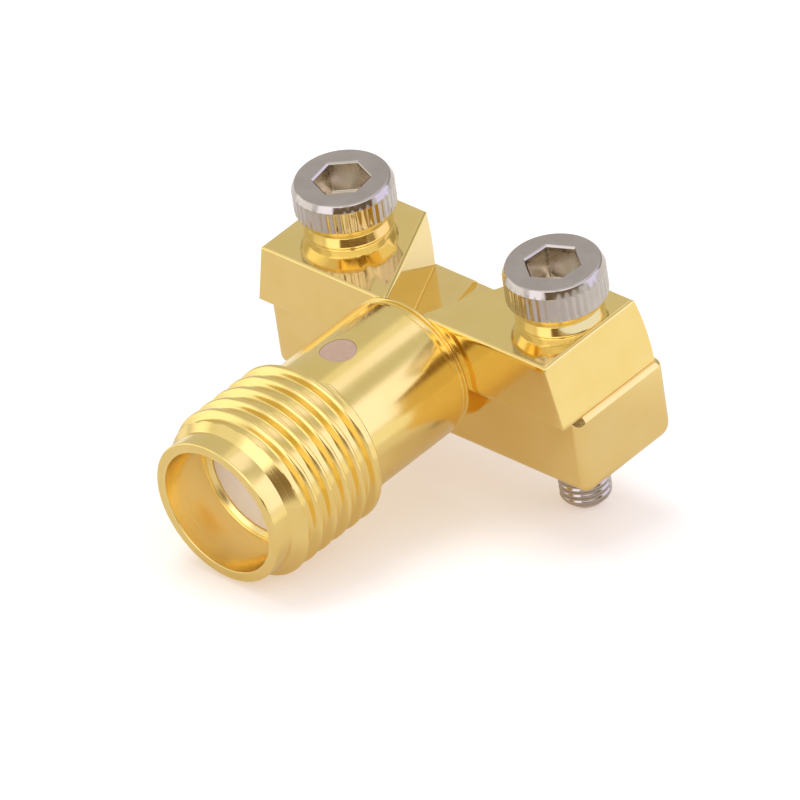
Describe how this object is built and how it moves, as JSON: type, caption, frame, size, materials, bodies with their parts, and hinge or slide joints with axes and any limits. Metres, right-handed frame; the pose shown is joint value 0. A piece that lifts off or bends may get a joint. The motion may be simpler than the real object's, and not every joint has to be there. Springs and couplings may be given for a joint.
{
  "type": "sma pcb connector",
  "caption": "Edge-launch coaxial jack with a threaded barrel, a pair of notched ears and a screw-down clamp block that grips a circuit board.",
  "frame": {"origin": "where the board's edge, its top face and its centre line meet, on the barrel's axis", "axes": "+Y from the port towards the board, +Z from the board's top face towards the screw heads, +X along the line of the screws"},
  "size_m": [0.0144, 0.0149, 0.01],
  "materials": {
    "gold_plated_body": "polished gold plating",
    "gold_plated_clamp": "polished gold plating",
    "contact_gold": "gold plating on a copper alloy",
    "dielectric_plastic": "machined, waxy, off-white",
    "epoxy": "cured and ground flush, brownish pink",
    "screw_steel": "polished stainless"
  },
  "bodies": {
    "connector": {"connector_body": "gold_plated_body", "dielectric": "dielectric_plastic", "center_contact": "contact_gold", "epoxy_plug": "epoxy"},
    "clamp": {"clamp_block": "gold_plated_clamp"},
    "left_screw": {"left_clamp_screw": "screw_steel"},
    "right_screw": {"right_clamp_screw": "screw_steel"}
  },
  "joints": [
    {"name": "left_screw_turn", "type": "hinge", "parent": "connector", "child": "left_screw", "pos_m": [-0.00484, 0.00272, 0], "axis": [0, 0, 1], "range_deg": [0, 2160]},
    {"name": "right_screw_turn", "type": "hinge", "parent": "connector", "child": "right_screw", "pos_m": [0.00484, 0.00272, 0], "axis": [0, 0, 1], "range_deg": [0, 2160]},
    {"name": "clamp_travel", "type": "slide", "parent": "connector", "child": "clamp", "axis": [0, 0, -1], "range_m": [0, 0.0024]}
  ],
  "couplings": [
    {"joint": "left_screw_turn", "follows": "clamp_travel", "rad_per_m": 15708},
    {"joint": "right_screw_turn", "follows": "clamp_travel", "rad_per_m": 15708}
  ]
}
